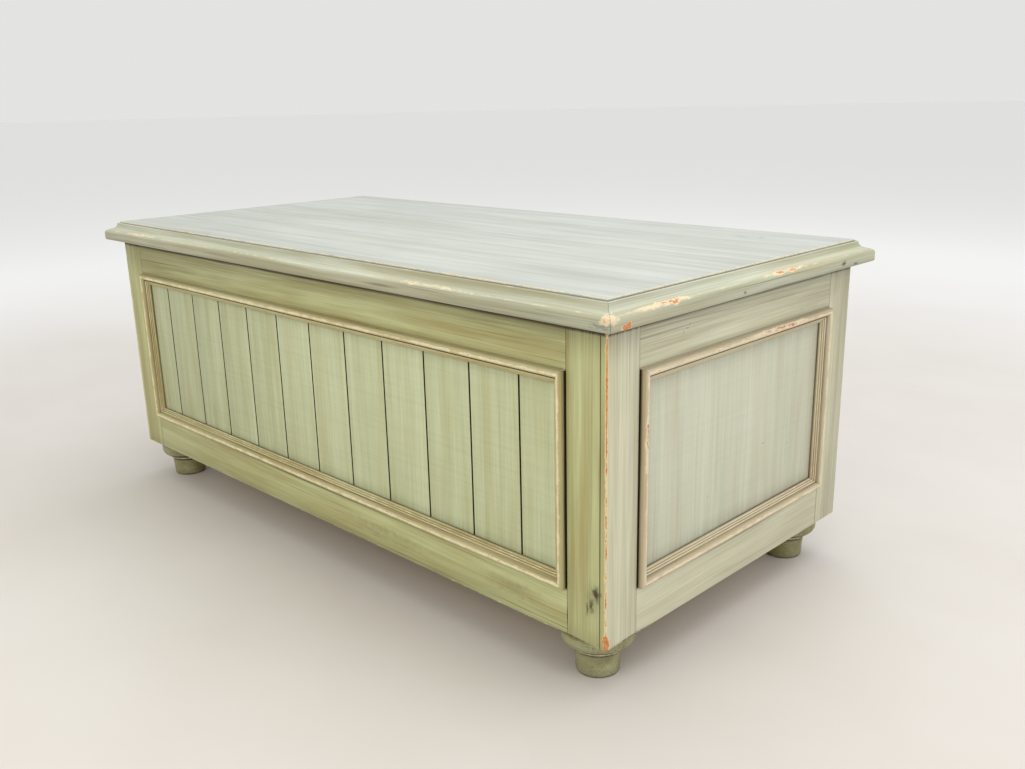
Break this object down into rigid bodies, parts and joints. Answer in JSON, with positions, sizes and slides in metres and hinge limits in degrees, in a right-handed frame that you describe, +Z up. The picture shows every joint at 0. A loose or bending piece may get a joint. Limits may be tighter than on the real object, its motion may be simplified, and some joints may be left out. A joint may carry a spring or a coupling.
{
  "type": "storage bench",
  "caption": "Painted pine storage chest with a hinged moulded lid that is the seat, a boarded front, framed side panels and short turned feet.",
  "frame": {"origin": "on the floor under the middle of the bench, z = 0 at the underside of the feet", "axes": "+X to the right along the front as seen by a person facing it, +Y from the front to the back, +Z up; the boarded front faces -Y"},
  "size_m": [1.104, 0.552, 0.45],
  "materials": {
    "front_paint": "sage green paint over pine, brushed, with a yellow-brown antique glaze",
    "side_paint": "sage green paint over pine, brushed, lightly glazed",
    "panel_paint": "sage green paint over pine, smooth, lightly glazed",
    "moulding_paint": "sage green paint rubbed back to tan primer on the high lines, glaze in the quirks",
    "lid_paint": "pale grey-green satin paint with rubbed edges",
    "bare_pine": "unfinished pine",
    "hinge_brass": "brass-plated steel, satin",
    "stay_steel": "zinc-plated steel, satin"
  },
  "bodies": {
    "case": {"back_bottom_rail": "side_paint", "back_panel": "side_paint", "back_top_rail": "side_paint", "bottom_panel": "bare_pine", "front_board_01": "panel_paint", "front_board_02": "panel_paint", "front_board_03": "panel_paint", "front_board_04": "panel_paint", "front_board_05": "panel_paint", "front_board_06": "panel_paint", "front_board_07": "panel_paint", "front_board_08": "panel_paint", "front_board_09": "panel_paint", "front_board_10": "panel_paint", "front_board_11": "panel_paint", "front_board_12": "panel_paint", "front_bottom_rail": "front_paint", "front_left_foot": "front_paint", "front_left_stile": "front_paint", "front_moulding_bottom": "moulding_paint", "front_moulding_left": "moulding_paint", "front_moulding_right": "moulding_paint", "front_moulding_top": "moulding_paint", "front_right_foot": "front_paint", "front_right_stile": "front_paint", "front_top_rail": "front_paint", "left_bottom_rail": "side_paint", "left_front_stile": "side_paint", "left_hinge_case_leaf": "hinge_brass", "left_hinge_pin": "hinge_brass", "left_moulding_bottom": "moulding_paint", "left_moulding_left": "moulding_paint", "left_moulding_right": "moulding_paint", "left_moulding_top": "moulding_paint", "left_panel": "panel_paint", "left_rear_stile": "side_paint", "left_top_rail": "side_paint", "rear_left_foot": "front_paint", "rear_right_foot": "front_paint", "right_bottom_rail": "side_paint", "right_front_stile": "side_paint", "right_hinge_case_leaf": "hinge_brass", "right_hinge_pin": "hinge_brass", "right_moulding_bottom": "moulding_paint", "right_moulding_left": "moulding_paint", "right_moulding_right": "moulding_paint", "right_moulding_top": "moulding_paint", "right_panel": "panel_paint", "right_rear_stile": "side_paint", "right_top_rail": "side_paint", "stay_case_pin": "stay_steel"},
    "lid": {"left_hinge_lid_leaf": "hinge_brass", "lid_edge_back": "lid_paint", "lid_edge_front": "lid_paint", "lid_edge_left": "lid_paint", "lid_edge_right": "lid_paint", "lid_panel": "lid_paint", "right_hinge_lid_leaf": "hinge_brass", "stay_lid_bracket": "stay_steel"},
    "stay_arm": {"stay_arm": "stay_steel"}
  },
  "joints": [
    {"name": "lid_hinge", "type": "hinge", "parent": "case", "child": "lid", "pos_m": [0, 0.2588, 0.4202], "axis": [-1, 0, 0], "range_deg": [0, 95]},
    {"name": "stay_pivot", "type": "hinge", "parent": "lid", "child": "stay_arm", "pos_m": [0.502, 0.10435, 0.4072], "axis": [-1, 0, 0], "range_deg": [-47.5, 0]}
  ],
  "couplings": [
    {"joint": "stay_pivot", "follows": "lid_hinge", "ratio": -0.5}
  ]
}
